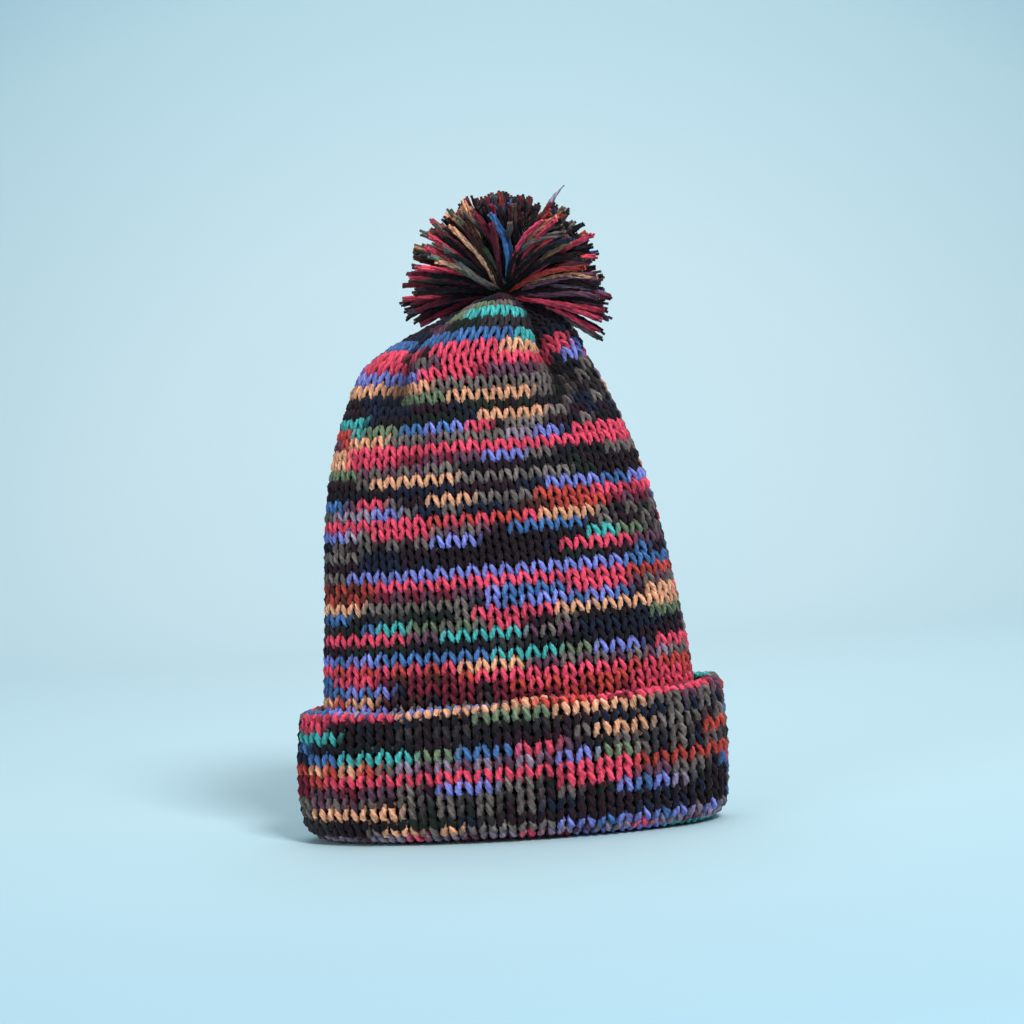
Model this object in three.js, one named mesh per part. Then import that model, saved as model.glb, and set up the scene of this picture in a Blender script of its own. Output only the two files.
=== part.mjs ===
// A pom pom beanie: one knitted tube, gathered at both ends and pushed into itself as its own
// lining, with the fold turned up into a cuff and a cut-yarn pompom tied to the crown.
// Millimetres, +Z up, front towards -Y, standing on its cuff at z = 0.
import * as THREE from "three";

// Knitted body
const hatHeight = 281.5; // floor to the gathered top of the outer layer
const bodyHalfWidth = 100.6; // outer layer at its foot, along X
const bodyHalfDepth = 37; // outer layer at its foot, along Y
const fabric = 4.4; // thickness of one knitted layer
const layerGap = 0.4; // clearance between layers that lie on each other
const crownSpace = 12; // room between the two gathered crowns
const gatherHole = 5; // radius left open by the drawn-up last course
const crownLean = 9.25; // how far the gathered top stands to the right of the foot
const bodySway = 9; // how far the shoulders below it stand to the left

// Cuff
const cuffHeight = 74;
const cuffRoll = 14; // outer radius of the turn at the foot
const cuffStandOff = cuffRoll - 0.6; // from the body's outer layer to the cuff's face
const cuffTopRound = 6; // outer radius of the fold at the top edge
const cuffRise = 3.5; // the top edge is this much higher at the right, lower at the left

// Yarn and knots
const yarn = 1.2; // radius of a gathering yarn
const tail = 1.1; // radius of a loose tail between the crowns
const knotRadius = 3.8;
const fit = 0.3; // clearance between pieces that touch

// Pompom
const neckRadius = 1.8; // the tie's twisted tails, where they pass through the crown
const coreRadius = 4.8; // the bound middle of the strands
const coreLift = 5.5; // centre of the core above the gathered top
const tieYarn = 0.8;
const tuftReach = 48; // core centre to strand tips
const tuftCount = 20;
const tuftSpread = THREE.MathUtils.degToRad(12); // half angle of one tuft
const tuftLowest = THREE.MathUtils.degToRad(12); // no tuft's middle is lower than this
const looseLength = 14; // how far the one long strand stands out of the tufts
const looseElevation = THREE.MathUtils.degToRad(57);

// Facets
const hatSides = 36;
const bodySteps = 15;
const arcSteps = 4;

const bodyRadius = (bodyHalfWidth + bodyHalfDepth) / 2;
const openness = (bodyHalfWidth - bodyHalfDepth) / 2; // what makes the round tube an oval one
const squeezeLimit = 0.6; // keeps the oval from folding over itself near the gathered tops
const squeezeStart = gatherHole + 1;
const layerPitch = fabric + layerGap;

const charcoal = "#2c2a36";
const plum = "#5a3d4c";
const coral = "#cc4657";
const periwinkle = "#6f74b8";
const steel = "#3f5f86";
const peach = "#d9956b";
const grey = "#6b6a70";
const olive = "#5f6b4c";

const hat = new THREE.Group();

function addPiece(name, geometry, colour, group = hat) {
  const material = new THREE.MeshStandardMaterial({ color: colour, roughness: 0.92, metalness: 0 });
  const mesh = new THREE.Mesh(geometry, material);
  mesh.name = name;
  group.add(mesh);
  return mesh;
}

// The hat is turned round its axis as circles, then pressed oval and leant over at the top.
function ovalAt(height) {
  return openness * Math.sqrt(Math.max(0, 1 - (height / hatHeight) ** 2));
}

function leanAt(height) {
  const share = height / hatHeight;
  const toRight = THREE.MathUtils.smoothstep(share, 0.87, 0.99);
  const toLeft = THREE.MathUtils.smoothstep(share, 0.32, 0.82);
  return (crownLean + bodySway) * toRight - bodySway * toLeft;
}

function pressOval(geometry, riseToRight = 0) {
  const place = geometry.getAttribute("position");
  for (let i = 0; i < place.count; i += 1) {
    const [x, y, z] = [place.getX(i), place.getY(i), place.getZ(i)];
    const radius = Math.hypot(x, y);
    const squeeze = Math.min(ovalAt(z), squeezeLimit * Math.max(0, radius - squeezeStart));
    const [cos, sin] = radius > 0 ? [x / radius, y / radius] : [0, 0];
    const rise = riseToRight * (z / cuffHeight) * cos;
    place.setXYZ(i, x + squeeze * cos + leanAt(z), y - squeeze * sin, z + rise);
  }
  return geometry;
}

const tieX = leanAt(hatHeight - fabric / 2); // the pompom's tie stands over the gathered hole

// Turns a closed outline of (radius, height) points round the hat's axis.
function turned(outline, sides = hatSides) {
  const closed = [...outline, outline[0].clone()];
  return new THREE.LatheGeometry(closed, sides).rotateX(Math.PI / 2);
}

function offsetInward(points, distance) {
  return points.map((point, i) => {
    const before = points[Math.max(0, i - 1)];
    const after = points[Math.min(points.length - 1, i + 1)];
    const along = after.clone().sub(before).normalize();
    return new THREE.Vector2(point.x - along.y * distance, point.y + along.x * distance);
  });
}

// One knitted layer from its foot to its gathered top, as shares of its foot radius and height.
function bodyLayer(footRadius, foot, top) {
  const shape = [
    [1, 0], [0.988, 0.27], [0.948, 0.43], [0.898, 0.62], [0.792, 0.77],
    [0.648, 0.885], [0.427, 0.952], [0.225, 0.985],
  ];
  const stations = shape.map(([across, up]) => {
    return new THREE.Vector2(across * footRadius, foot + up * (top - foot));
  });
  stations.push(new THREE.Vector2(gatherHole, top));
  const outside = new THREE.SplineCurve(stations).getPoints(bodySteps);
  const inside = offsetInward(outside, fabric);
  inside[0].set(footRadius - fabric, foot);
  inside[inside.length - 1].set(gatherHole, top - fabric);
  return turned([...outside, ...inside.reverse()]);
}

const liningTop = hatHeight - fabric - crownSpace;

function makeBody() {
  addPiece("outer_shell", pressOval(bodyLayer(bodyRadius, layerPitch, hatHeight)), charcoal);
  const lining = bodyLayer(bodyRadius - layerPitch, layerPitch, liningTop);
  addPiece("lining", pressOval(lining), plum);
}

// The face wraps under the foot and over the top edge; the backing stands inside it.
function makeCuff() {
  const faceRadius = bodyRadius + cuffStandOff;
  const lipRadius = bodyRadius - 2 * fabric - layerGap;
  const backingRadius = faceRadius - layerPitch;
  const backingInside = backingRadius - fabric;
  const quarter = Math.PI / 2;
  const face = new THREE.Shape();
  face.moveTo(lipRadius, 0);
  face.lineTo(faceRadius - cuffRoll, 0);
  face.absarc(faceRadius - cuffRoll, cuffRoll, cuffRoll, -quarter, 0, false);
  face.absarc(faceRadius - cuffTopRound, cuffHeight - cuffTopRound, cuffTopRound, 0, quarter, false);
  face.lineTo(backingInside, cuffHeight);
  face.lineTo(backingInside, cuffHeight - fabric);
  const inTop = cuffTopRound - fabric;
  face.absarc(faceRadius - cuffTopRound, cuffHeight - cuffTopRound, inTop, quarter, 0, true);
  face.absarc(faceRadius - cuffRoll, cuffRoll, cuffRoll - fabric, 0, -quarter, true);
  face.lineTo(lipRadius, fabric);
  addPiece("cuff_face", pressOval(turned(distinct(face.getPoints(arcSteps))), cuffRise), coral);

  const backing = new THREE.Shape();
  const backingRoll = cuffRoll - layerPitch;
  const rollCentre = faceRadius - cuffRoll;
  const lowest = -Math.acos(Math.min(1, Math.max(0, (backingInside - rollCentre) / backingRoll)));
  backing.moveTo(backingInside, cuffRoll + backingRoll * Math.sin(lowest));
  backing.absarc(rollCentre, cuffRoll, backingRoll, lowest, 0, false);
  backing.absarc(faceRadius - cuffTopRound, cuffHeight - cuffTopRound, inTop - layerGap, 0, quarter, false);
  backing.lineTo(backingInside, cuffHeight - layerPitch);
  const backingRing = turned(distinct(backing.getPoints(arcSteps)));
  addPiece("cuff_backing", pressOval(backingRing, cuffRise), plum);
}

// Drops points that fall on the one before them, and a last point that falls on the first.
function distinct(points) {
  const kept = points.filter((point, i) => i === 0 || point.distanceTo(points[i - 1]) > 1e-6);
  return kept[0].distanceTo(kept[kept.length - 1]) < 1e-6 ? kept.slice(0, -1) : kept;
}

function tube(points, radius, steps) {
  const section = new THREE.Shape();
  section.absarc(0, 0, radius, 0, 2 * Math.PI, false);
  const extrudePath = new THREE.CatmullRomCurve3(points.map((p) => new THREE.Vector3(...p)));
  return new THREE.ExtrudeGeometry(section, { extrudePath, steps, curveSegments: 4 });
}

function gatherRing(top) {
  const ring = new THREE.TorusGeometry(gatherHole - yarn - 0.2, yarn, 6, 16);
  return pressOval(ring.translate(0, 0, top - fabric / 2));
}

const knotHeight = hatHeight - fabric - fit - knotRadius - 1.3;

// The yarns that close the two crowns, and the knot and tails that hold the pompom.
function makeCrownYarns() {
  addPiece("crown_gather_cord", gatherRing(hatHeight), charcoal);
  addPiece("lining_gather_cord", gatherRing(liningTop), plum);
  const knot = new THREE.SphereGeometry(knotRadius, 10, 8).rotateX(Math.PI / 2);
  addPiece("anchor_knot", knot.translate(tieX, 0, knotHeight), charcoal);
  const tailReach = 0.45 * bodyRadius;
  for (const [side, name] of [[-1, "anchor_tail_left"], [1, "anchor_tail_right"]]) {
    const route = [[0.39, 1, -2.5], [0.71, -1, -6.5], [1, 0, -11]].map(([out, y, down]) => {
      const height = knotHeight + down;
      return [leanAt(height) + side * out * tailReach, y, height];
    });
    route.unshift([tieX + side * (knotRadius + fit + 0.1), 0, knotHeight]);
    addPiece(name, tube(route, tail, 8), charcoal);
  }
  const ringReach = gatherHole - yarn - 0.4;
  const underHole = hatHeight - fabric / 2 - yarn - tail;
  const link = [
    [leanAt(underHole), ringReach, underHole],
    [leanAt(underHole), ringReach + 0.2, underHole - 2],
    [leanAt(underHole), knotRadius + 3.2, knotHeight - 1],
    [leanAt(liningTop) + 1, knotRadius + 1.5, knotHeight - 4.5],
    [leanAt(liningTop), ringReach - 0.2, liningTop + 0.8],
    [leanAt(liningTop), ringReach - 0.2, liningTop - fabric / 2 + yarn + fit],
  ];
  addPiece("crown_closing_tail", tube(link, tail, 8), charcoal);
}

// Pompom: tie and core at the crown, then tufts of cut strands on a spiral over the upper half.
function makePompom() {
  const centre = hatHeight + coreLift;
  const pompom = new THREE.Group();
  pompom.position.set(tieX, 0, centre);
  hat.add(pompom);

  const neckTop = -coreRadius - fit;
  const neckBottom = knotHeight + knotRadius + fit - centre;
  const neck = new THREE.CylinderGeometry(neckRadius, neckRadius, neckTop - neckBottom, 12);
  neck.rotateX(Math.PI / 2).translate(0, 0, (neckTop + neckBottom) / 2);
  addPiece("pompom_neck_cord", neck, charcoal, pompom);

  const tieDrop = coreLift - tieYarn - 0.7;
  const tieRadius = Math.sqrt((coreRadius + tieYarn + fit) ** 2 - tieDrop ** 2);
  const tie = new THREE.TorusGeometry(tieRadius, tieYarn, 6, 16).translate(0, 0, -tieDrop);
  addPiece("pompom_tie", tie, plum, pompom);
  const core = new THREE.SphereGeometry(coreRadius, 12, 8).rotateX(Math.PI / 2);
  addPiece("pompom_core", core, charcoal, pompom);

  const root = coreRadius + 2 * tieYarn + 2 * fit; // clear of the tie at any lean
  const wide = Math.tan(tuftSpread);
  const profile = [
    [0, root], [root * wide, root], [tuftReach * 0.86 * wide, tuftReach * 0.86],
    [tuftReach * 0.62 * wide, tuftReach * 0.97], [0, tuftReach],
  ].map(([across, out]) => new THREE.Vector2(across, out));
  const shades = [charcoal, plum, coral, grey, charcoal, periwinkle, olive, charcoal, peach, steel];
  const goldenAngle = Math.PI * (3 - Math.sqrt(5));
  for (let i = 0; i < tuftCount; i += 1) {
    const share = (i + 0.5) / tuftCount;
    const up = 1 - share * (1 - Math.sin(tuftLowest));
    const out = Math.sqrt(1 - up * up);
    const turn = i * goldenAngle;
    const direction = new THREE.Vector3(out * Math.cos(turn), out * Math.sin(turn), up);
    const name = `pompom_tuft_${String(i + 1).padStart(2, "0")}`;
    const tuft = addPiece(name, new THREE.LatheGeometry(profile, 8), shades[i % shades.length], pompom);
    tuft.quaternion.setFromUnitVectors(new THREE.Vector3(0, 1, 0), direction);
  }

  const loose = new THREE.CylinderGeometry(yarn, yarn, looseLength, 8);
  loose.translate(0, tuftReach + fit + looseLength / 2, 0);
  loose.rotateZ(looseElevation - Math.PI / 2).rotateX(Math.PI / 2);
  addPiece("pompom_loose_strand", loose, periwinkle, pompom);
}

makeBody();
makeCuff();
makeCrownYarns();
makePompom();

export default hat;
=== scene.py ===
import math

import bpy
import numpy as np
from mathutils import Matrix, Vector


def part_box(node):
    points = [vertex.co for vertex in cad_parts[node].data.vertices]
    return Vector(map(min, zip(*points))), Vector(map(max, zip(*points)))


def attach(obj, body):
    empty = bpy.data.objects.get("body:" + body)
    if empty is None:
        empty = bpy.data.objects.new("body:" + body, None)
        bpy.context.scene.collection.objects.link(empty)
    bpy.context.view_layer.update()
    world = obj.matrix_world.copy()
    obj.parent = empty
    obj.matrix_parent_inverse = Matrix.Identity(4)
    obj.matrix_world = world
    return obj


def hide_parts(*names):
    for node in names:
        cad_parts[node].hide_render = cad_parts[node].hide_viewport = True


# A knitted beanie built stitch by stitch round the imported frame: every course is a real plied yarn.
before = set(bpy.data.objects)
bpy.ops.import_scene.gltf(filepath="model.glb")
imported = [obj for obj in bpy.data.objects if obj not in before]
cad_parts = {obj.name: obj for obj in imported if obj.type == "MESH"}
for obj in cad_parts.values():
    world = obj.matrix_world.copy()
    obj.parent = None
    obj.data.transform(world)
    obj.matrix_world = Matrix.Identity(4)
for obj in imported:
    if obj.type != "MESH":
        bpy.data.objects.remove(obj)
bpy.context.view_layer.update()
mm = 0.001


def linearColour(hexText):
    channels = [int(hexText[i:i + 2], 16) / 255 for i in (1, 3, 5)]
    return [c / 12.92 if c <= 0.04045 else ((c + 0.055) / 1.055) ** 2.4 for c in channels]


def smooth(value, low, high):
    share = np.clip((value - low) / (high - low), 0, 1)
    return share * share * (3 - 2 * share)


def unit(vectors):
    return vectors / np.maximum(np.linalg.norm(vectors, axis=-1, keepdims=True), 1e-12)


def addNode(tree, kind, settings=None, links=None):
    node = tree.nodes.new(kind)
    for key, value in (settings or {}).items():
        if hasattr(node, key) and key not in node.inputs:
            setattr(node, key, value)
        else:
            node.inputs[key].default_value = value
    for key, socket in (links or {}).items():
        tree.links.new(socket, node.inputs[key])
    return node


def newMaterial(name):
    material = bpy.data.materials.new(name)
    material.use_nodes = True
    material.node_tree.nodes.clear()
    return material


# Dyes of the variegated yarn, one letter each in the charts
dyes = {
    "k": "#1c1822",  # charcoal, almost black
    "n": "#26161f",  # plum black
    "v": "#1a2138",  # navy black
    "x": "#2e1826",  # plum black, redder
    "z": "#1e2723",  # green black
    "y": "#3b353a",  # worn charcoal
    "g": "#776c69",  # taupe grey
    "p": "#6a4459",  # mauve plum
    "m": "#7d2338",  # maroon
    "c": "#f5506e",  # coral pink
    "r": "#cc4a42",  # brick red
    "d": "#4f2a25",  # brown
    "o": "#f4b08a",  # peach
    "s": "#748469",  # sage
    "t": "#4ab9b8",  # teal
    "b": "#4a76b2",  # steel blue
    "l": "#858ce0",  # periwinkle
    "w": "#a28fa6",  # pale mauve
}
dyeLetters = "".join(dyes)
dyeColours = np.array([linearColour(code) for code in dyes.values()])


# Worsted acrylic: soft and matt, with a little sheen from its stray fibres. Streaks run with the
# fibres, under 1 mm wide, which is coarser than the real 0.02 mm so that they show. Patches of
# about a centimetre make the dye uneven.
yarnFinish = {
    "streaks": (2.2, 13, 1),  # in each centimetre, along the yarn and round it
    "streakShade": (0.42, 1.55),
    "patches": (1.1, 1.6, 1),
    "patchShade": (0.78, 1.2),
    "noiseRange": (0.3, 0.7),
    "fibreDepth": 0.3 * mm,
    "bump": 0.7,
    "roughness": 0.82,
    "specular": 0.2,
    "sheen": 0.07,
    "sheenRoughness": 0.4,
}


# Noise along the yarn, and the brightness that comes of it
def fibreNoise(tree, place, perCentimetre, shades, detail, roughness):
    stretched = addNode(tree, "ShaderNodeMapping", {"Scale": perCentimetre},
                        {"Vector": place.outputs["UV"]})
    noise = addNode(tree, "ShaderNodeTexNoise", {"Scale": 1.0, "Detail": detail, "Roughness": roughness},
                    {"Vector": stretched.outputs["Vector"]})
    low, high = yarnFinish["noiseRange"]
    shade = addNode(tree, "ShaderNodeMapRange",
                    {"From Min": low, "From Max": high, "To Min": shades[0], "To Max": shades[1]},
                    {"Value": noise.outputs["Fac"]})
    return noise, shade


def makeYarnMaterial(name):
    material = newMaterial(name)
    tree = material.node_tree
    place = addNode(tree, "ShaderNodeUVMap", {"uv_map": "yarn"})
    # Each corner's colour: the yarn's dye times painted shade in hollows, creases, grooves and flanks
    dye = addNode(tree, "ShaderNodeAttribute", {"attribute_name": "dye"})
    fibres, streak = fibreNoise(tree, place, yarnFinish["streaks"], yarnFinish["streakShade"], 3.0, 0.6)
    _, uneven = fibreNoise(tree, place, yarnFinish["patches"], yarnFinish["patchShade"], 2.0, 0.5)
    shade = addNode(tree, "ShaderNodeMath", {"operation": "MULTIPLY"})
    tree.links.new(streak.outputs["Result"], shade.inputs[0])
    tree.links.new(uneven.outputs["Result"], shade.inputs[1])
    colour = addNode(tree, "ShaderNodeVectorMath", {"operation": "SCALE"},
                     {"Vector": dye.outputs["Color"], "Scale": shade.outputs["Value"]})
    bump = addNode(tree, "ShaderNodeBump",
                   {"Strength": yarnFinish["bump"], "Distance": yarnFinish["fibreDepth"]},
                   {"Height": fibres.outputs["Fac"]})
    surface = addNode(tree, "ShaderNodeBsdfPrincipled",
                      {"Roughness": yarnFinish["roughness"], "Specular IOR Level": yarnFinish["specular"],
                       "Sheen Weight": yarnFinish["sheen"],
                       "Sheen Roughness": yarnFinish["sheenRoughness"]},
                      {"Base Color": colour.outputs["Vector"], "Normal": bump.outputs["Normal"]})
    addNode(tree, "ShaderNodeOutputMaterial", links={"Surface": surface.outputs["BSDF"]})
    return material


yarnShape = {
    "twist": 15 * mm,  # the length in which the plies turn once
    "grooveShade": 2.2,  # painted shade in the grooves between the plies, for their depth
    "flankShade": 0.42,  # painted shade: brightness of the flanks, which neighbouring yarns hide from the light
    "flankEdge": (-0.45, 0.95),
}


# A plied yarn as one closed tube: three lobes that twist along it. paths is (strands, points, 3),
# and lobe is the depth of the grooves as a share of the radius.
def spinYarn(name, paths, normals, radius, colours, around, lobe, twist=yarnShape["twist"]):
    strands, points = paths.shape[:2]
    tangents = unit(np.gradient(paths, axis=1))
    sides = unit(np.cross(tangents, normals))
    ups = np.cross(sides, tangents)
    steps = np.linalg.norm(np.diff(paths, axis=1), axis=2)
    length = np.concatenate([np.zeros((strands, 1)), np.cumsum(steps, axis=1)], axis=1)
    spot = np.arange(around) / around
    angle = 2 * math.pi * (spot + length[..., None] / twist)
    hollow = lobe * (0.5 - 0.5 * np.cos(6 * math.pi * spot))
    reach = radius[..., None] * (1 - hollow)
    ring = (np.cos(angle) * reach)[..., None] * sides[:, :, None]
    ring = ring + (np.sin(angle) * reach)[..., None] * ups[:, :, None]
    corners = (paths[:, :, None] + ring).reshape(-1, 3)

    first = (np.arange(strands) * points)[:, None, None] + np.arange(points - 1)[None, :, None]
    here, there = np.arange(around), (np.arange(around) + 1) % around
    near, far = first * around, (first + 1) * around
    quads = np.stack([near + here, far + here, far + there, near + there], axis=-1).reshape(-1, 4)
    starts = (np.arange(strands) * points)[:, None] * around + here
    ends = (np.arange(strands) * points + points - 1)[:, None] * around + here[::-1]
    faces = quads.tolist() + starts.tolist() + ends.tolist()
    mesh = bpy.data.meshes.new(name)
    mesh.from_pydata(corners.tolist(), [], faces)

    centimetres = 100
    u = np.repeat(length[:, :-1, None], around, axis=2) * centimetres
    uNext = np.repeat(length[:, 1:, None], around, axis=2) * centimetres
    girth = 2 * math.pi * radius.mean() * centimetres
    v = np.broadcast_to(spot * girth, u.shape)
    vNext = np.broadcast_to((spot + 1 / around) * girth, u.shape)
    quadCorners = ((u, v), (uNext, v), (uNext, vNext), (u, vNext))
    corner = np.stack([np.stack(pair, axis=-1) for pair in quadCorners], axis=3)
    capCorners = np.zeros((2 * strands * around, 2))
    layer = mesh.uv_layers.new(name="yarn")
    places = np.concatenate([corner.reshape(-1, 2), capCorners])
    layer.data.foreach_set("uv", places.astype(np.float32).ravel())
    colourWithPaintedShade = np.ones((strands * points, around, 4))
    # Painted shade: the colour darkens in the grooves between the plies and on the yarn's flanks and
    # underside
    groove = 1 - yarnShape["grooveShade"] * hollow
    dark = yarnShape["flankShade"]
    flank = dark + (1 - dark) * smooth(np.sin(angle), *yarnShape["flankEdge"])
    colourWithPaintedShade[:, :, :3] = colours.reshape(-1, 1, 3) * (groove * flank.reshape(-1, around))[..., None]
    layer = mesh.color_attributes.new(name="dye", type="FLOAT_COLOR", domain="POINT")
    layer.data.foreach_set("color", colourWithPaintedShade.astype(np.float32).ravel())
    mesh.shade_smooth()
    mesh.materials.append(yarnMaterial)
    piece = bpy.data.objects.new(name, mesh)
    bpy.context.collection.objects.link(piece)
    return piece


# The same yarn's fuzz on the back of the stitches, in shade and seen only between them
def makePurlSideMaterial():
    material = newMaterial("shadedPurlSide")
    surface = addNode(material.node_tree, "ShaderNodeBsdfPrincipled",
                      {"Base Color": (*linearColour("#120e14"), 1), "Roughness": 0.95,
                       "Specular IOR Level": 0.1})
    addNode(material.node_tree, "ShaderNodeOutputMaterial", links={"Surface": surface.outputs["BSDF"]})
    return material


yarnMaterial = makeYarnMaterial("variegatedAcrylicYarn")
purlSideMaterial = makePurlSideMaterial()
print("yarn materials made")

# The hat's sizes, taken from the frame where it states them
shellLow, shellHigh = (np.array(corner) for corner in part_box("outer_shell"))
cuffLow, cuffHigh = (np.array(corner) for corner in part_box("cuff_face"))
hat = {
    "top": shellHigh[2],
    "foot": shellLow[2],
    "radius": (shellHigh[0] - shellLow[0] + shellHigh[1] - shellLow[1]) / 4,
    "openness": (shellHigh[0] - shellLow[0] - shellHigh[1] + shellLow[1]) / 4,
    "lean": 9.25 * mm,  # the gathered top stands this far to the right of the foot
    "leanFrom": (0.87, 0.99),  # shares of the height over which it comes
    "sway": 9 * mm,  # and the shoulders below it this far to the left
    "swayFrom": (0.32, 0.82),
    "gatherHole": 5 * mm,
    "fabric": 4.4 * mm,
    "layerPitch": 4.8 * mm,
    "crownSpace": 12 * mm,  # between the two gathered crowns, for the knot
    "wales": 50,  # columns of stitches round the hat
}
# The body's outline: share of the foot's radius, share of the height
bodyShape = [(1, 0), (0.988, 0.27), (0.948, 0.43), (0.898, 0.62), (0.792, 0.77),
             (0.648, 0.885), (0.427, 0.952), (0.225, 0.985)]


# A smooth curve through the points, of count points
def throughPoints(points, count):
    points = np.array(points, float)
    padded = np.vstack([2 * points[0] - points[1], points, 2 * points[-1] - points[-2]])
    place = np.linspace(0, len(points) - 1, count)
    i = np.minimum(place.astype(int), len(points) - 2)
    t = (place - i)[:, None]
    a, b, c, d = (padded[i + k] for k in range(4))
    curve = 2 * b + (c - a) * t
    curve = curve + (2 * a - 5 * b + 4 * c - d) * t ** 2
    curve = curve + (3 * b - a - 3 * c + d) * t ** 3
    return 0.5 * curve


def outlineOf(points, inset):
    steps = np.linalg.norm(np.diff(points, axis=0), axis=1)
    length = np.concatenate([[0], np.cumsum(steps)])
    along = unit(np.gradient(points, axis=0))
    outward = np.stack([along[:, 1], -along[:, 0]], axis=1)
    inside = points - inset * outward
    return {"length": length, "points": inside, "outward": outward, "total": length[-1]}


def bodyOutline(footRadius, top, inset):
    height = top - hat["foot"]
    points = [(across * footRadius, hat["foot"] + up * height) for across, up in bodyShape]
    return outlineOf(throughPoints(points + [(hat["gatherHole"], top)], 400), inset)


def ovalAt(height):
    return hat["openness"] * np.sqrt(np.clip(1 - (height / hat["top"]) ** 2, 0, 1))


def leanAt(height):
    share = height / hat["top"]
    right = (hat["lean"] + hat["sway"]) * smooth(share, *hat["leanFrom"])
    return right - hat["sway"] * smooth(share, *hat["swayFrom"])


# Equal steps of cloth round the oval, from the left edge over the front
def turnOfWale():
    turn = np.linspace(math.pi, 3 * math.pi, 2001)
    flattening = 0.9 * hat["openness"]  # at mid height
    wide, deep = hat["radius"] + flattening, hat["radius"] - flattening
    steps = np.hypot(np.diff(wide * np.cos(turn)), np.diff(deep * np.sin(turn)))
    length = np.concatenate([[0], np.cumsum(steps)])
    return length / length[-1] * hat["wales"], turn


waleTable, turnTable = turnOfWale()


# Folds where the top is drawn together: column, depth in millimetres and width in columns
crownFolds = [(6.3, 10.0, 1.8), (20.2, 11.0, 2.3), (0.2, 4.0, 0.9),
              (30.5, 9.0, 1.8), (37.2, 8.0, 1.6), (44.0, 9.0, 1.8)]
crown = {
    "drawnUp": (37.5, 45.5),  # the courses over which the folds form
    "crowding": 0.88,  # how much of its width a column loses in a fold
    "slide": 3.4,  # columns that the top slides left
    "slideFrom": (42, 51),
    "creaseShade": 0.9,
    "creaseFrom": (39, 42.5),
    "crests": [(12.8, 4.9, 1.0), (38, 5, 0.6)],  # plump panels: column, half width, share
    "crestHeight": 7.5,
    "crestRise": (43, 48.5),
    "crestFall": (50.5, 52.5),
}


# How far each column is into a fold
def inFold(wale):
    return sum(np.exp(-((wale - at) / wide) ** 2) for at, _, wide in crownFolds)


# Columns crowd into the folds, so that the ones between keep their width
def crownTable():
    grid = np.linspace(0, hat["wales"], 1001)
    room = 1.0 - crown["crowding"] * inFold(grid)
    placed = np.concatenate([[0], np.cumsum((room[1:] + room[:-1]) / 2)])
    half = len(grid) // 2
    front = placed[:half + 1] / placed[half] * hat["wales"] / 2
    back = (placed[half:] - placed[half]) / (placed[-1] - placed[half]) * hat["wales"] / 2
    back = back + hat["wales"] / 2
    return grid, np.concatenate([front, back[1:]])


columnGrid, columnPlaced = crownTable()


# Where a column lies once the top is drawn together. The columns also slide to the left as the
# top leans right, so that they stay upright.
def drawTogether(wale, row):
    wale = np.mod(wale, hat["wales"])
    slid = -crown["slide"] * smooth(row, *crown["slideFrom"]) * np.sin(2 * math.pi * wale / hat["wales"])
    crowded = np.interp(wale, columnGrid, columnPlaced) - wale
    return wale + smooth(row, *crown["drawnUp"]) * crowded + slid


# Little light reaches the bottom of a fold
def creaseShade(wale, row):
    return 1 - crown["creaseShade"] * np.clip(inFold(wale), 0, 1) * smooth(row, *crown["creaseFrom"])


# Where a course lies along the outline. The drawn-up courses near the top stand taller.
def courseDistance(knit, outline, row):
    courses, shares = zip(*knit["heights"])
    return outline["total"] * np.interp(row + 0.5, courses, shares)


# The place on the hat of a column and a distance up the outline, lifted off its surface
def onOval(outline, wale, distance, lift, rise):
    r, z = (np.interp(distance, outline["length"], outline["points"][:, i]) for i in (0, 1))
    outR, outZ = (np.interp(distance, outline["length"], outline["outward"][:, i]) for i in (0, 1))
    radius, height = np.maximum(r + outR * lift, 0.0005), z + outZ * lift
    turn = np.interp(np.mod(wale, hat["wales"]), waleTable, turnTable)
    roundAt = hat["gatherHole"] + mm  # the oval ends in a round gather
    squeeze = np.minimum(ovalAt(height), 0.6 * np.maximum(0, radius - roundAt))
    x = (radius + squeeze) * np.cos(turn) + leanAt(height)
    y = (radius - squeeze) * np.sin(turn)
    return np.stack([x, y, height * (1 + rise * np.cos(turn))], axis=-1)


# Runs of three to eleven stitches of one dye, as a variegated yarn gives them
def dyeRuns(count, draw):
    letters = "kkkkkknnngggggppmccccrdoostbblw"
    found = []
    while len(found) < count:
        found += [letters[draw.integers(len(letters))]] * int(draw.integers(3, 12))
    return found[:count]


# The dye of every stitch, course by course: the chart's letters over the front, then runs
def courseDyes(rows, charted, seed):
    draw = np.random.default_rng(seed)
    front = hat["wales"] // 2
    letters = []
    for row in range(rows):
        chart = charted.get(row)
        letters += list(chart) + dyeRuns(front, draw) if chart else dyeRuns(2 * front, draw)
    darkDyes = "kkvxzyvx"  # the charcoal lengths drift between navy, plum and green
    darks = []
    while len(darks) < len(letters):
        darks += [darkDyes[draw.integers(len(darkDyes))]] * int(draw.integers(1, 5))
    letters = [dark if letter == "k" else letter for letter, dark in zip(letters, darks)]
    return np.array([dyeLetters.index(letter) for letter in letters])


stitchShape = {
    "uneven": (0.03, 0.05, 0.12 * mm),  # across in columns, up in courses, and off the cloth
    "hollowLight": 0.1,  # painted shade: brightness where the yarn runs behind its neighbours
    "dyeChange": (0.25, 1.0),  # the part of a stitch over which its dye turns to the next
    "brightness": (1.15, 0.17),  # mean and spread from stitch to stitch
}


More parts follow.
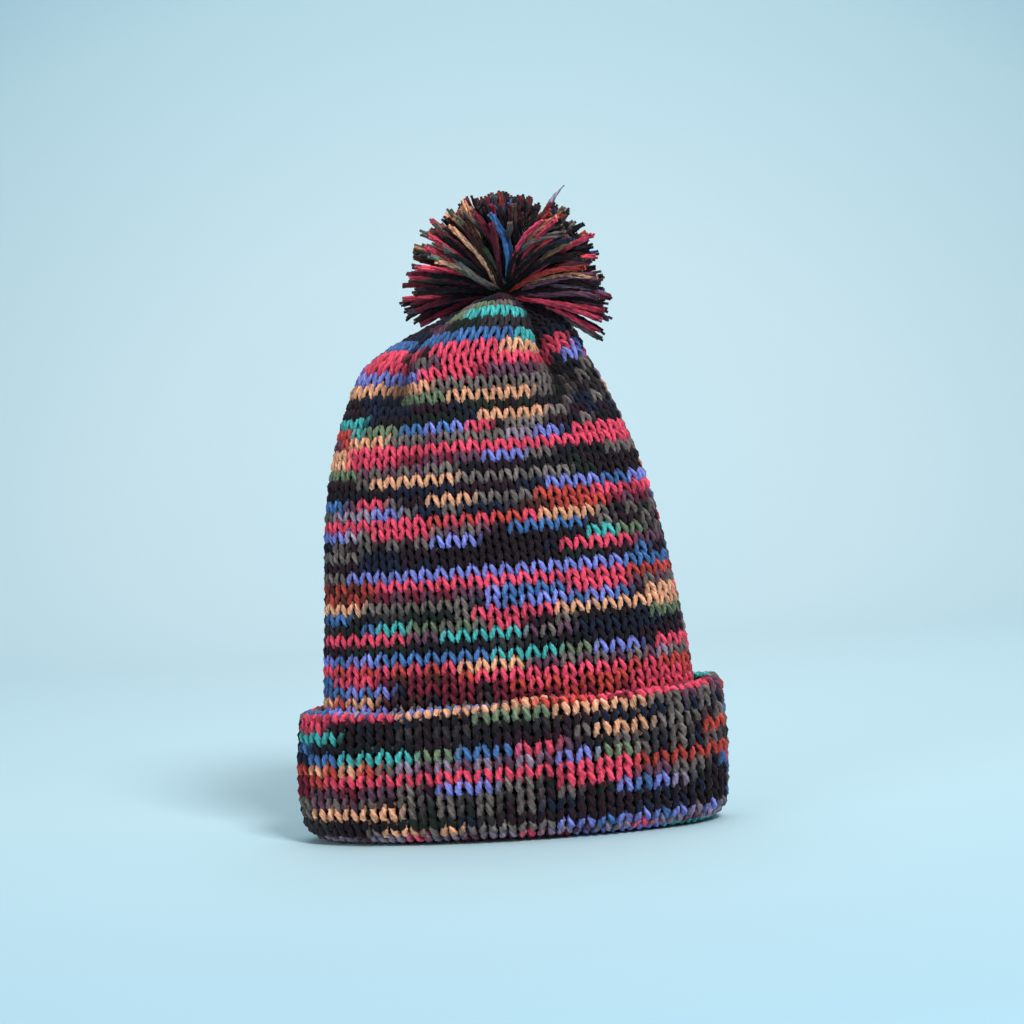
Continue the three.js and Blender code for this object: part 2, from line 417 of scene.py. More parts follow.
# One yarn, knitted round and round from row first to row last. At each stitch it runs up a leg,
# behind the next course's feet and down again, so that the legs stand as a V on the knit side.
def knitBand(name, knit, outline, indexes, first, last):
    wales, perStitch = hat["wales"], knit["points"]
    draw = np.random.default_rng(knit["seed"] + first)
    count = (last - first) * wales
    t = np.arange(count * perStitch + 1) / perStitch * 2 * math.pi
    loop = t / (2 * math.pi)
    course = first + loop / wales
    stitch = np.minimum(loop.astype(int), count - 1)
    wobble = draw.normal(0, 1, (count + 1, 3))
    blend = smooth(loop - stitch, 0, 1)[:, None]
    nudge = wobble[stitch] * (1 - blend) + wobble[np.minimum(stitch + 1, count)] * blend
    sway = knit["sway"] / (2 * math.pi)
    uneven = nudge * np.array(stitchShape["uneven"])
    wale = loop - 0.5 + sway * np.sin(2 * t) + uneven[:, 0]
    row = course + knit["reach"] * np.cos(t) + uneven[:, 1]
    lift = -knit["depth"] * np.cos(2 * t) - knit["tuck"] * np.cos(t) + uneven[:, 2]
    # Painted shade: the yarn darkens where it runs in behind its neighbours
    hollow = stitchShape["hollowLight"]
    shade = hollow + (1 - hollow) * smooth(lift, -0.9 * knit["depth"], 0.55 * knit["depth"])
    lift = lift * knit["facing"] + knit["swell"](np.mod(wale, wales), row)
    distance = courseDistance(knit, outline, row)
    if knit["gathered"]:
        wale = drawTogether(wale, row)
    path = onOval(outline, wale, distance, lift, knit["rise"])
    ahead = onOval(outline, wale, distance, lift + mm * knit["facing"], knit["rise"])
    radius = knit["radius"] * (1 + 0.05 * nudge[:, 0]) * knit["thin"](row)

    place = first * wales + loop - 0.5
    here = place.astype(int)
    near = dyeColours[indexes[np.clip(here, 0, len(indexes) - 1)]]
    after = dyeColours[indexes[np.clip(here + 1, 0, len(indexes) - 1)]]
    share = smooth(place - here, *stitchShape["dyeChange"])[:, None]
    mean, spread = stitchShape["brightness"]
    shade = shade * np.clip(mean + spread * nudge[:, 1], 0.7, 1.5)
    # Painted shade in the crown's folds, which little light reaches
    if knit["gathered"]:
        shade = shade * creaseShade(np.mod(loop - 0.5, wales), course)
    colours = (near * (1 - share) + after * share) * shade[:, None]
    return spinYarn(name, path[None], (ahead - path)[None], radius[None], colours[None],
                    knit["around"], knit["lobe"])


# The felted back of the stitches, which stops light passing between the legs
def backOfKnit(name, knit, outline, first, last, behind, body):
    columns, rows = 3 * hat["wales"], int((last - first) * 2)
    wale, row = np.meshgrid(np.arange(columns) / columns * hat["wales"], np.linspace(first, last, rows + 1))
    lift = knit["swell"](wale, row) - behind * knit["facing"]
    if knit["gathered"]:
        wale = drawTogether(wale, row)
    corners = onOval(outline, wale, courseDistance(knit, outline, row), lift, knit["rise"])
    i, j = np.meshgrid(np.arange(columns), np.arange(rows))
    ahead = (i + 1) % columns
    below, above = j * columns, (j + 1) * columns
    faces = np.stack([below + i, below + ahead, above + ahead, above + i], axis=-1)
    mesh = bpy.data.meshes.new(name)
    mesh.from_pydata(corners.reshape(-1, 3).tolist(), [], faces.reshape(-1, 4).tolist())
    mesh.shade_smooth()
    mesh.materials.append(purlSideMaterial)
    piece = bpy.data.objects.new(name, mesh)
    bpy.context.collection.objects.link(piece)
    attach(piece, body)


# A knitted layer as bands, each small enough to be one piece
def knitPiece(name, knit, outline, indexes, bands, body, node):
    for number, (first, last) in enumerate(zip(bands[:-1], bands[1:]), 1):
        piece = knitBand(f"{name}_{number}", knit, outline, indexes, first, last)
        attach(piece, body)
    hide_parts(node)


# Slow unevenness of hand-knitted cloth: size, waves round the hat, slant and start of each wave
def unevenCloth(wale, row, waves):
    turn = 2 * math.pi * wale / hat["wales"]
    return sum(size * np.sin(turn * count + row * slant + start) for size, count, slant, start in waves)


# Colour chart of the front, from the gathered top down to the cuff, left to right
bodyChart = [
    "kkknnkkkkkkkkkkkkkkkknnkk",
    "kknnkkkkkkkkkkkdkkkkkkkkk",
    "knnkkkppgggsssggkkkkkknkk",
    "kkknppppsssttttttkkdkkkkk",
    "nnnkkkkpppkkkkkkkkkkkdkkk",
    "kbbbbkkbbbbbbbbbtttkkkcck",
    "bcccckkcckcccccooookkcccl",
    "lccccccmpgpccccccccccckll",
    "lllllllllccccmppppgkkkkkg",
    "oooooooooogggggggggkkgkgk",
    "knnkkkkssssooooooggkkgkkk",
    "nkknkkkkkkkkkkknkkkkgkkgk",
    "ktttkkkkkkkkkoooooggkkkkk",
    "rrrtsssbblblcckgggkkkgkkk",
    "mprooogggpgggggwwllkccccc",
    "ooocccccccccccccccccccccc",
    "oooccccmmpmpplllggkkkkggg",
    "sssspgpgpggkkkkkkkkknnnnn",
    "kkkkgooooooggggggggkknnnn",
    "knkkkkkkkkkkkkkkkllllbbll",
    "bbbpccgkkoooggggrrrrccccc",
    "ggwwwllgkkgkkkkddrrrrmpmp",
    "cccccccccrcrcrrcoooogkgkg",
    "bllwgccccgpgpkbbbbbkgkkgk",
    "kkgkgkgkglllnnnnnkkttsskg",
    "ggggkkkkknnnnnnnkcccccppp",
    "kkkkkkkkknnnnnnnnkkkkkbkk",
    "gggllllllllllllllllllbbbb",
    "rdrdrccccccccccccccccrrrr",
    "drdrdmpmpmpplbbbbccccpgpg",
    "oooogggggggklblllbllbkooo",
    "kbbkkkkkkkgcccccooooooooo",
    "kkkkbttssgsgcckkgkkkkksss",
    "pccccccpptttttpgpkkkkkkkk",
    "kknkkkkkkkknkkkkkkkkkkkkk",
    "llbllbbbbbbbttttsslllkccc",
    "ccrcrcrcrcooooppgpgpgpwgg",
    "bbcccmdmdmrcccccccccrcrrr",
    "lbblblkmmmmkmrcrcrrrccccr",
    "ooroodkdkmmkmmmmrmrmccccc",
]
bodyTopRow = 51  # the course that the chart starts with


def bodySwell(wale, row):
    fold = sum(-depth * np.exp(-((wale - at) / wide) ** 2) for at, depth, wide in crownFolds)
    crest = sum(share * np.exp(-((wale - at) / wide) ** 4) for at, wide, share in crown["crests"])
    stands = smooth(row, *crown["crestRise"]) * (1 - smooth(row, *crown["crestFall"]))
    slow = unevenCloth(wale, row, [(0.8, 3, 0.13, 0), (0.5, 7, -0.21, 0)])
    return (fold * smooth(row, *crown["drawnUp"]) + crown["crestHeight"] * crest * stands + slow) * mm


bodyKnit = {
    "rows": 53,
    "heights": [(0, 0), (16.5, 0.303), (41.5, 0.757), (48.5, 0.911), (53, 1)],  # course, share
    "points": 16,  # of the yarn's path in a stitch
    "around": 9,  # corners round the yarn
    "radius": 1.62 * mm,
    "lobe": 0.2,
    "sway": 1.15,  # how wide a loop is above, in columns
    "reach": 0.82,  # how far it stands into the next course
    "depth": 1.25 * mm,  # how far the yarn goes in and out
    "tuck": 0.35 * mm,
    "gathered": True,
    "facing": 1,  # 1 shows the knit side outside, -1 inside
    "rise": 0.0,
    "seed": 11,
    "swell": bodySwell,
    "thin": lambda row: 1 - 0.3 * smooth(row, 46, 52),
}
bodyLine = bodyOutline(hat["radius"], hat["top"], 2.6 * mm)
bodyIndexes = courseDyes(bodyKnit["rows"], {bodyTopRow - i: line for i, line in enumerate(bodyChart)}, 5)
knitPiece("body_knit", bodyKnit, bodyLine, bodyIndexes, [11, 20, 30, 40, 52], "hat",
          "outer_shell")
backOfKnit("body_knit_purl_side", bodyKnit, bodyLine, 1, 51.5, 1.9 * mm, "hat")
# Hidden courses, behind the cuff and inside the hat, need less detail
hiddenYarn = {"points": 10, "around": 6, "lobe": 0.0}
footKnit = {**bodyKnit, **hiddenYarn}
knitPiece("body_knit_foot", footKnit, bodyLine, bodyIndexes, [1, 11], "hat", "outer_shell")

# Colour chart of the cuff's front, from its rim down
cuffChart = [
    "bbblwlwllbwlgooprrcmcmpcm",
    "gccccccooooooorrrcmcccccp",
    "kccknknknknssssoooooggpgp",
    "ktttnknknkkkkkkkkkkkkgkgk",
    "kbkkkkkkkkkkkkkkgooogggkg",
    "vvbbttttssbbbccpkkgkkgkrr",
    "rrororgwpwpwpwpllssgkgkgk",
    "mmrccccccccccccccccrrrrrr",
    "mmppmppgklllggkccccppggkb",
    "ggpgpgkgkgkgkgkgkklblwknk",
    "kgooooogkgkgkgkkkkknknknk",
    "kkkkkkkkkkkkkknknknknknkn",
    "kkkkkgoogogggggllbllblwlg",
    "wpwwpwwcwwpwwcwwpwwcwwpww",
]
cuffTopRow = 15
cuffRise = 3.5 / 74  # the cuff stands this share higher at the right and lower at the left
cuff = {
    "height": (cuffHigh[2] + cuffLow[2]) / (1 + cuffRise),
    "radius": cuffHigh[0] - hat["openness"],
    "roll": 14 * mm,
    "topRound": 6 * mm,
    "bulge": 1.6 * mm,
}


def arc(centre, radius, fromTurn, toTurn, count=24):
    turn = np.radians(np.linspace(fromTurn, toTurn, count))
    return np.stack([centre[0] + radius * np.cos(turn), centre[1] + radius * np.sin(turn)], axis=1)


# The section of the cuff: under its fold, round it, up the wall and over the rim
def cuffOutline(inset):
    lip = hat["radius"] - 2 * hat["fabric"]
    rollCentre = (cuff["radius"] - cuff["roll"], cuff["roll"])
    topCentre = (cuff["radius"] - cuff["topRound"], cuff["height"] - cuff["topRound"])
    wall = np.linspace((cuff["radius"], cuff["roll"]), (cuff["radius"], topCentre[1]), 60)
    wall[:, 0] += cuff["bulge"] * np.sin(np.linspace(0, math.pi, 60))
    points = np.vstack([
        np.linspace((lip, 0), (rollCentre[0], 0), 12)[:-1],
        arc(rollCentre, cuff["roll"], -90, 0)[:-1],
        wall,
        arc(topCentre, cuff["topRound"], 0, 120)[1:],
    ])
    return outlineOf(points, inset)


def cuffSwell(wale, row):
    return unevenCloth(wale, row, [(0.8, 4, 0, 1), (0.5, 9, 0.3, 0)]) * smooth(row, 2, 6) * mm


cuffKnit = {
    "rows": 16,
    "heights": [(0, 0), (16, 1)],
    "points": 16,
    "around": 9,
    "radius": 2.02 * mm,
    "lobe": 0.22,
    "sway": 1.0,
    "reach": 0.84,
    "depth": 1.5 * mm,
    "tuck": 0.45 * mm,
    "gathered": False,
    "facing": 1,
    "rise": cuffRise,
    "seed": 31,
    "swell": cuffSwell,
    "thin": lambda row: np.ones_like(row),
}
cuffLine = cuffOutline(3.9 * mm)
cuffIndexes = courseDyes(cuffKnit["rows"], {cuffTopRow - i: line for i, line in enumerate(cuffChart)}, 8)
knitPiece("cuff_knit", cuffKnit, cuffLine, cuffIndexes, [0, 8, 16], "cuff", "cuff_face")
backOfKnit("cuff_knit_purl_side", cuffKnit, cuffLine, 0, 15.3, 2.3 * mm, "cuff")

# The second layer of the cuff, hidden between it and the body
backingKnit = {**cuffKnit, **hiddenYarn, "rows": 11, "heights": [(0, 0), (11, 1)], "radius": 1.7 * mm,
               "facing": -1, "seed": 41}
backingRadius = cuff["radius"] - 2 * hat["layerPitch"] + 1.5 * mm
backingWall = np.linspace((backingRadius, 8 * mm), (backingRadius, cuff["height"] - 6 * mm), 60)
backingLine = outlineOf(backingWall, 0)
knitPiece("cuff_backing_knit", backingKnit, backingLine, courseDyes(11, {}, 9), [0, 11], "cuff",
          "cuff_backing")

# The inner layer, whose knit side faces into the hat
liningTop = hat["top"] - hat["fabric"] - hat["crownSpace"]
liningKnit = {**bodyKnit, **hiddenYarn, "rows": 49, "heights": [(0, 0), (49, 1)], "radius": 1.4 * mm,
              "depth": 0.7 * mm, "facing": -1, "seed": 51, "gathered": False,
              "swell": lambda wale, row: np.zeros_like(row),
              "thin": lambda row: 1 - 0.3 * smooth(row, 42, 48)}
liningLine = bodyOutline(hat["radius"] - hat["layerPitch"], liningTop, 2.4 * mm)
knitPiece("lining_knit", liningKnit, liningLine, courseDyes(49, {}, 13), [1, 17, 33, 48], "hat",
          "lining")


coreLow, coreHigh = (np.array(corner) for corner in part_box("pompom_core"))
pompom = {
    "centre": (coreLow + coreHigh) / 2,
    "reach": 53 * mm,
    "strands": 400,
    "clumps": 52,
    "skirtStrands": 170,
    "skirtClumps": 44,
    "plies": 3,
    "ply": 1.0 * mm,  # radius of one ply
    "turnLength": 38 * mm,  # in which the plies of a cut strand turn once
    "wave": 1.8 * mm,
    "stray": 0.05,  # spread of the strands' headings
    "trim": (0.945, 1.0),  # shares of its reach that a ply is cut to
    "points": 12,
}


# Cut strands, each three plies loosely twisted. They leave the tie steeply and bow over, so that
# the tuft is a dome with its parting at the tie. mixing is how far the dye changes along a strand.
def makeStrands(name, directions, reaches, letters, seed, body, bow, bend=None, mixing=0.8, rootShade=0.1):
    draw = np.random.default_rng(seed)
    count, plies, points = len(directions), pompom["plies"], pompom["points"]
    s = np.linspace(0, 1, points)[None, :, None]
    up = np.array([0, 0, 1.0])
    start = unit(directions + bow * up + draw.normal(0, pompom["stray"], (count, 3)))
    droop = bow * 0.75 * up * (1 - np.abs(directions[:, 2:]))
    end = unit(directions - droop + draw.normal(0, pompom["stray"], (count, 3)))
    route = start[:, None] * (s - 0.5 * s ** 2) + end[:, None] * (0.5 * s ** 2)
    route = route / np.linalg.norm(route[:, -1:], axis=2, keepdims=True) * reaches[:, None, None]
    side = unit(np.cross(directions, draw.normal(0, 1, (count, 3))))
    other = np.cross(directions, side)
    size = draw.normal(0, pompom["wave"], (count, 1, 1))
    route = route + side[:, None] * size * np.sin(math.pi * s * draw.uniform(0.8, 1.6, (count, 1, 1)))
    if bend is not None:
        across = unit(np.cross(directions, np.array([0, 1.0, 0.001])))
        route = route + across[:, None] * bend[:, None, None] * np.sin(math.pi * s)
    root = pompom["centre"] + draw.normal(0, 1, (count, 3)) * np.array([2.0, 1.6, 1.0]) * mm
    root[:, 2] -= 3 * mm
    route = route + root[:, None]
    turn = draw.uniform(0, 2 * math.pi, (count, 1, 1))
    turn = turn + s * reaches[:, None, None] / pompom["turnLength"] * 2 * math.pi
    opening = pompom["ply"] * (0.72 + 0.3 * smooth(s, 0.85, 1.0))
    paths = []
    tips = draw.uniform(*pompom["trim"], (count, plies))
    for ply in range(plies):
        angle = turn + 2 * math.pi * ply / plies
        offset = (np.cos(angle) * side[:, None] + np.sin(angle) * other[:, None]) * opening
        path = route + offset
        trim = 1 - (1 - tips[:, ply, None, None]) * smooth(s, 0.6, 1)
        paths.append(root[:, None] + (path - root[:, None]) * trim)
    paths = np.stack(paths, axis=1).reshape(count * plies, points, 3)
    normals = np.repeat(side, plies, axis=0)[:, None] + np.zeros_like(paths)
    radius = np.full(paths.shape[:2], pompom["ply"]) * (0.75 + 0.25 * smooth(s[:, :, 0], 0, 0.35))
    radius = radius * (1 - 0.25 * smooth(s[:, :, 0], 0.9, 1))
    base = dyeColours[[dyeLetters.index(letter) for letter in letters]]
    second = base[draw.permutation(count)]
    changeAt = draw.uniform(0.15, 1.5, (count, 1, 1))
    change = mixing * draw.uniform(0.3, 1.0, (count, 1, 1)) * smooth(s, changeAt, changeAt + 0.3)
    base = np.repeat(base[:, None] * (1 - change) + second[:, None] * change, plies, axis=0)
    base = base * draw.uniform(1.15 - 0.6 * mixing, 1.15 + 0.3 * mixing, (count * plies, 1, 1))
    # Painted shade: each strand darkens towards its root, deep in the tuft, from rootShade up to full
    # brightness part way out
    depth = np.clip(rootShade + 1.35 * s[:, :, 0:1], 0, 1)
    piece = spinYarn(name, paths, normals, radius, base * depth, around=6, lobe=0.0)
    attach(piece, body)
    return piece


# Dye mix round the pompom, by angle from the right over the top to the left, in degrees
pompomMix = [(-30, "kkgccnn"), (-8, "xnnpppdw"), (6, "ppkorodn"), (16, "rkknngco"), (28, "kkknggkk"),
             (40, "kkngkrco"), (50, "ccrkndm"), (62, "knxymgc"), (78, "vnmdxk"), (92, "nmdybk"),
             (104, "knmdbk"), (116, "mdokng"), (128, "dsgkon"), (142, "ckggmn"), (156, "kgosck"),
             (168, "ckmnkd"), (180, "nmkcdk")]


def pickDyes(directions, draw):
    angle = np.degrees(np.arctan2(directions[:, 2], directions[:, 0]))
    angle = np.where(angle < -90, angle + 360, angle) + draw.normal(0, 5, len(directions))
    stops = np.array([stop for stop, _ in pompomMix])
    nearest = np.abs(angle[:, None] - stops).argmin(axis=1)
    mixes = [pompomMix[i][1] for i in nearest]
    return [mix[draw.integers(len(mix))] for mix in mixes]


# Directions in clumps, as cut strands cling together
def domeDirections(count, clumps, lowest, highest, draw, backOnly=False):
    rise = draw.uniform(math.sin(math.radians(lowest)), math.sin(math.radians(highest)), clumps)
    turn = draw.uniform(-0.12, math.pi + 0.12, clumps) if backOnly else draw.uniform(0, 2 * math.pi, clumps)
    flat = np.sqrt(1 - rise ** 2)
    middles = np.stack([flat * np.cos(turn), flat * np.sin(turn), rise], axis=1)
    directions = unit(middles[draw.integers(clumps, size=count)] + draw.normal(0, 0.1, (count, 3)))
    flatFront = 0.38  # the strands that come forward open to the sides
    directions[:, 1] = np.where(directions[:, 1] < 0, flatFront * directions[:, 1], directions[:, 1])
    return unit(directions)


# Strands that show on the front: angle from the right over the top in degrees, how far forward,
# share of the reach, sideways bend in millimetres, dye
frontStrands = [
    (-32, 0.0, 1.14, 0, "g"), (-28, 0.1, 1.06, 0, "c"), (-25, 0.0, 1.1, 0, "n"), (-23, 0.2, 1.08, 0, "c"),
    (-20, 0.1, 1.1, 0, "p"), (-17, 0.25, 1.02, 0, "x"), (-15, 0.1, 1.08, 0, "n"), (-12, 0.3, 1.0, 0, "p"),
    (-11, 0.2, 1.04, 1, "c"), (-18, -0.2, 1.06, 0, "y"), (-26, -0.25, 1.04, 0, "x"),
    (-8, 0.3, 1.02, 1, "x"), (-4, 0.3, 1.04, 1, "n"), (0, 0.3, 1.05, 1, "p"), (3, 0.4, 1.03, 1, "p"),
    (7, 0.45, 1.04, 2, "o"), (10, 0.5, 0.98, 3, "r"), (12, 0.35, 1.04, 3, "p"), (17, 0.45, 0.98, 4, "n"),
    (24, 0.4, 1.04, 2, "c"), (22, 0.5, 0.96, 5, "k"), (29, 0.5, 1.0, 5, "k"), (35, 0.55, 0.98, 5, "g"),
    (40, 0.5, 1.02, 5, "k"), (46, 0.45, 1.03, 4, "o"), (47, 0.3, 0.98, 4, "k"), (55, 1.0, 0.95, 7, "c"),
    (52, 0.6, 1.05, 4, "c"), (56, 0.4, 1.05, 2, "r"), (62, 0.5, 1.03, 0, "k"), (67, 0.6, 0.97, 0, "n"),
    (72, 0.6, 1.0, -2, "k"), (77, 0.6, 1.02, -2, "k"), (82, 0.5, 1.0, -3, "n"), (88, 0.5, 1.0, -3, "m"),
    (93, 0.6, 0.95, -4, "n"), (98, 0.7, 0.92, -5, "b"), (101, 0.75, 0.9, -5, "b"), (104, 0.6, 0.96, -4, "k"),
    (110, 0.5, 0.97, -2, "m"), (114, 0.6, 0.93, -1, "m"), (119, 0.65, 0.9, 0, "d"), (122, 0.7, 0.96, 0, "o"),
    (127, 0.5, 1.0, 0, "s"), (131, 0.6, 0.97, 0, "d"), (136, 0.5, 0.95, 0, "k"), (141, 0.4, 1.02, 0, "c"),
    (145, 0.5, 0.98, 0, "c"), (150, 0.55, 0.94, 0, "g"), (155, 0.65, 0.85, 0, "o"), (159, 0.4, 1.0, 0, "s"),
    (163, 0.35, 1.02, 0, "c"), (167, 0.5, 0.93, 0, "k"), (172, 0.35, 1.0, 0, "m"), (178, 0.3, 0.98, 0, "n"),
    (183, 0.2, 1.0, 0, "d"),
]


def makeFrontStrands(name, body, entries, seed):
    angles, aheads, shares, bends, letters = zip(*entries)
    angle = np.radians(angles)
    ahead = np.array(aheads) * 1.25 + 0.15  # even the least comes a little forward
    headings = unit(np.stack([np.cos(angle), -ahead, np.sin(angle)], axis=1))
    reach = pompom["reach"] * np.array(shares) * np.sqrt(1 + 0.3 * ahead ** 2)
    makeStrands(name, headings, reach, letters, seed, body, 0.16, np.array(bends) * mm, 0.2, rootShade=0.5)


def makePompom():
    draw = np.random.default_rng(21)
    ball = domeDirections(pompom["strands"], pompom["clumps"], 12, 90, draw)
    reaches = pompom["reach"] * draw.uniform(0.93, 1.03, len(ball))
    strands = makeStrands("pompom_strands", ball, reaches, pickDyes(ball, draw), 22, "pompom", 0.42)
    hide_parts(*[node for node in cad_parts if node.startswith("pompom_tuft_")])
    skirt = domeDirections(pompom["skirtStrands"], pompom["skirtClumps"], -28, 12, draw, backOnly=True)
    # lowest on the right, and clear of the crown behind even when the pompom is turned
    heading = np.degrees(np.arctan2(skirt[:, 1], skirt[:, 0]))
    skirt[:, 2] = np.maximum(skirt[:, 2], -0.42 + 0.25 * smooth(heading, -5, 45))
    reaches = pompom["reach"] * draw.uniform(0.92, 1.05, len(skirt))
    makeStrands("pompom_skirt_strands", skirt, reaches, pickDyes(skirt, draw), 23, "pompom_neck", 0.2)
    # the low ones rest on the crown, so they turn with the tie and don't lean
    high = [strand for strand in frontStrands if 6 < strand[0] < 166]
    low = [strand for strand in frontStrands if not 6 < strand[0] < 166]
    makeFrontStrands("pompom_front_strands", "pompom", high, 24)
    makeFrontStrands("pompom_low_front_strands", "pompom_neck", low, 25)
    print("pompom", len(ball) + len(skirt) + len(frontStrands), "strands")


# The one strand that was missed by the scissors
def makeLooseStrand():
    low, high = (np.array(corner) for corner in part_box("pompom_loose_strand"))
    tip = np.array([high[0], (low[1] + high[1]) / 2, high[2] - 0.5 * mm])
    root = pompom["centre"] + (tip - pompom["centre"]) * 0.3
    count = 14
    s = np.linspace(0, 1, count)[:, None]
    curl = np.array([1, 0, -0.4]) * 1.6 * mm
    path = root + (tip - root) * s + curl * np.sin(2 * math.pi * s)
    radius = 1.9 * mm * (1 - 0.75 * smooth(s[:, 0], 0.7, 1))
    colours = np.tile(np.array(linearColour("#aeacc8")), (count, 1))
    facing = np.tile([0, -1.0, 0], (1, count, 1))
    strand = spinYarn("pompom_loose_strand_yarn", path[None], facing, radius[None], colours[None],
                      around=9, lobe=0.3)
    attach(strand, "pompom")
    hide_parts("pompom_loose_strand")


makePompom()
makeLooseStrand()


# A single yarn through the points, for the gathers, the tie and the knot
def yarnAlong(name, points, radius, letter, body, node, count=60):
    path = throughPoints(points, count)
    tangent = unit(np.gradient(path, axis=0))
    normal = unit(np.cross(tangent, np.array([0.13, 0.31, 0.94])))
    colours = np.tile(dyeColours[dyeLetters.index(letter)], (count, 1))
    piece = spinYarn(name, path[None], normal[None], np.full((1, count), radius), colours[None],
                     around=9, lobe=0.24, twist=11 * mm)
    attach(piece, body)
    if node:
        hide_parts(node)
    return piece, path


# A yarn laid round inside a node's box
def ringPoints(node, radius, turns=1.06):
    low, high = (np.array(corner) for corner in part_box(node))
    middle, reach = (low + high) / 2, (high - low) / 2 - radius
    angle = np.linspace(0.4, 0.4 + turns * 2 * math.pi, 40)
    ring = np.stack([np.cos(angle), np.sin(angle), np.zeros_like(angle)], axis=1)
    return middle + reach * ring


# A ball of yarn wound round a middle, for the knot and the bound heart of the pompom
def woundPoints(node, radius, turns, count):
    low, high = (np.array(corner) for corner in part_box(node))
    middle, reach = (low + high) / 2, (high - low).min() / 2 - radius
    s = np.linspace(0, 1, count)
    angle, tilt = turns * 2 * math.pi * s, math.pi * 2.3 * s
    x, y = np.cos(angle), np.sin(angle)
    spun = np.stack([x * np.cos(tilt), y, x * np.sin(tilt)], axis=1)
    return middle + reach * spun


def makeYarnEnds():
    ring = 1.2 * mm
    yarnAlong("crown_gather_yarn", ringPoints("crown_gather_cord", ring), ring, "k", "hat",
              "crown_gather_cord")
    yarnAlong("lining_gather_yarn", ringPoints("lining_gather_cord", ring), ring, "n", "hat",
              "lining_gather_cord")
    tie = 0.8 * mm
    yarnAlong("pompom_tie_yarn", ringPoints("pompom_tie", tie, 1.9), tie, "p", "pompom_neck",
              "pompom_tie", 80)
    yarnAlong("anchor_knot_yarn", woundPoints("anchor_knot", tie, 7, 160), tie, "k", "hat",
              "anchor_knot", 320)
    yarnAlong("pompom_heart_yarn", woundPoints("pompom_core", tie, 9, 200), tie, "n", "pompom_middle",
              "pompom_core", 420)
    low, high = (np.array(corner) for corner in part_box("pompom_neck_cord"))
    middle = (low + high) / 2
    s = np.linspace(0, 1, 20)
    neck = 0.9 * mm  # radius of each of the two twisted tails, and of their helix
    for side in (0, 1):
        angle = math.pi * side + s * 2 * math.pi * 0.8
        points = np.stack([middle[0] + neck * np.cos(angle), middle[1] + neck * np.sin(angle),
                           low[2] + (high[2] - low[2]) * s], axis=1)
        yarnAlong(f"pompom_neck_yarn_{side + 1}", points, neck, "k", "pompom_neck",
                  "pompom_neck_cord" if side == 0 else None, 40)
    knotLow, knotHigh = (np.array(corner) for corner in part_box("anchor_knot"))
    knot = (knotLow + knotHigh) / 2
    tail = 1.1 * mm
    for side, node in ((-1, "anchor_tail_left"), (1, "anchor_tail_right")):
        low, high = (np.array(corner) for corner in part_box(node))
        near, far = (low[0], high[0]) if side > 0 else (high[0], low[0])
        span = far - near
        drop = knot[2] - low[2] - tail
        points = [(near, 0, knot[2]), (near + 0.3 * span, mm, knot[2] - 0.2 * drop),
                  (near + 0.66 * span, -mm, knot[2] - 0.6 * drop), (far, 0, knot[2] - drop)]
        piece, path = yarnAlong(f"{node}_yarn", points, tail, "k", "hat", node, 50)
    low, high = (np.array(corner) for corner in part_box("crown_closing_tail"))
    low, high = low + tail, high - tail
    lean = leanAt(np.array([high[2], low[2]]))
    points = [(lean[0], low[1], high[2]), (lean[0], low[1] + 0.3 * mm, high[2] - 2 * mm),
              (high[0], high[1], knot[2] - mm), (lean[1] + mm, knot[1] + 5.3 * mm, knot[2] - 4.5 * mm),
              (lean[1], low[1], low[2] + 1.5 * mm), (lean[1], low[1], low[2])]
    yarnAlong("crown_closing_yarn", points, tail, "n", "hat", "crown_closing_tail", 60)
    print("yarn ends made")


makeYarnEnds()


backdrop = {
    "paintedLightAt": (0.0, 2.0, 0.15),
    "spread": (1.45, 2.7, 1.1),
    "paintedLightTones": [(0.0, "#9bc9db"), (0.09, "#a5c8d7"), (0.27, "#bad8e2"), (0.5, "#c4dfe9"),
              (0.67, "#cde4ec"), (1.0, "#cde8f1")],  # painted light, from the darker edges to the lightest place
    "curve": 1.2,  # radius of the sweep, which starts as far behind the hat
    "front": -4.0,
    "halfWidth": 5.0,
    "top": 5.0,
}


# Matt pale blue paper with a painted pool of light: lightest low on the wall and painted darker towards its
# edges
def makePaperMaterial():
    material = newMaterial("paleBluePaperWithPaintedLight")
    tree = material.node_tree
    place = addNode(tree, "ShaderNodeTexCoord")
    spot, spread = backdrop["paintedLightAt"], backdrop["spread"]
    around = addNode(tree, "ShaderNodeMapping",
                     {"Location": [-at / size for at, size in zip(spot, spread)],
                      "Scale": [1 / size for size in spread]},
                     {"Vector": place.outputs["Object"]})
    fall = addNode(tree, "ShaderNodeTexGradient", {"gradient_type": "SPHERICAL"},
                   {"Vector": around.outputs["Vector"]})
    ramp = addNode(tree, "ShaderNodeValToRGB", links={"Fac": fall.outputs["Fac"]})
    ramp.color_ramp.elements.remove(ramp.color_ramp.elements[1])
    for position, tone in backdrop["paintedLightTones"]:
        stop = ramp.color_ramp.elements[0] if position == 0 else ramp.color_ramp.elements.new(position)
        stop.color = (*linearColour(tone), 1)
    surface = addNode(tree, "ShaderNodeBsdfPrincipled", {"Roughness": 0.9, "Specular IOR Level": 0.2},
                      {"Base Color": ramp.outputs["Color"]})
    addNode(tree, "ShaderNodeOutputMaterial", links={"Surface": surface.outputs["BSDF"]})
    return material


